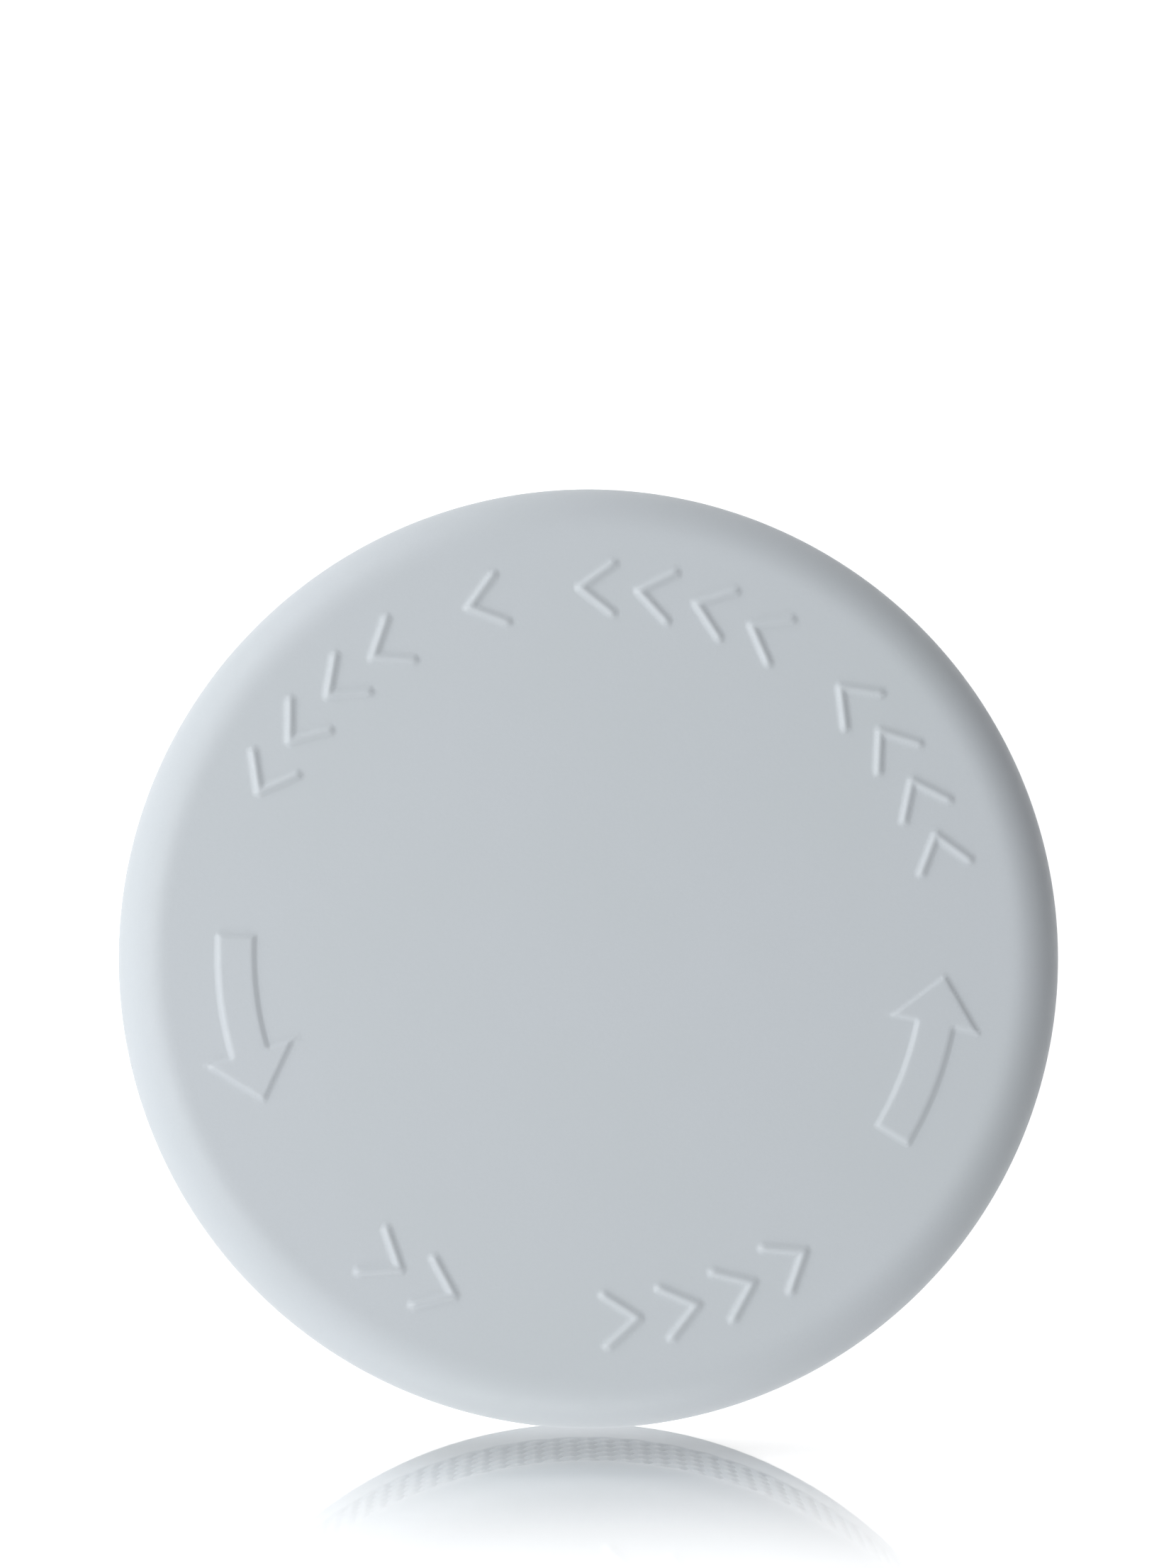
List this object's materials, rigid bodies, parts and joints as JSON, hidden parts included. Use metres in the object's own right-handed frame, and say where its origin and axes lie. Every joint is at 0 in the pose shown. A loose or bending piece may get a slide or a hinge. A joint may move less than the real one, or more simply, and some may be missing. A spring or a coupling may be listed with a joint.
{
  "type": "child-resistant closure",
  "caption": "White push-down-and-turn bottle closure: knurled outer shell with raised arrows over a threaded inner shell with a foil-faced liner.",
  "frame": {"origin": "on the closure's axis in the plane of the outer shell's open rim", "axes": "+Z along the closure's axis towards the raised face; +X to the right and +Y up when the face is read"},
  "size_m": [0.0452, 0.0452, 0.0217],
  "materials": {
    "outer_plastic": "fine matte moulded polypropylene, cool white",
    "inner_plastic": "satin moulded polypropylene, natural white",
    "pulp_board": "pressed pulp board",
    "foil": "film-coated aluminium foil"
  },
  "bodies": {
    "inner": {"inner_shell": "inner_plastic", "liner_board": "pulp_board", "seal_foil": "foil"},
    "leaves": {"spring_leaves": "outer_plastic"},
    "outer": {"outer_shell": "outer_plastic"}
  },
  "joints": [
    {"name": "turn", "type": "hinge", "parent": "inner", "child": "leaves", "pos_m": [0, 0, 0.0169], "axis": [0, 0, 1], "continuous": true},
    {"name": "push", "type": "slide", "parent": "leaves", "child": "outer", "axis": [0, 0, -1], "range_m": [0, 0.0015], "stiffness_N_per_m": 20000, "springref_m": -0.00025, "deforming": ["spring_leaves"]}
  ]
}
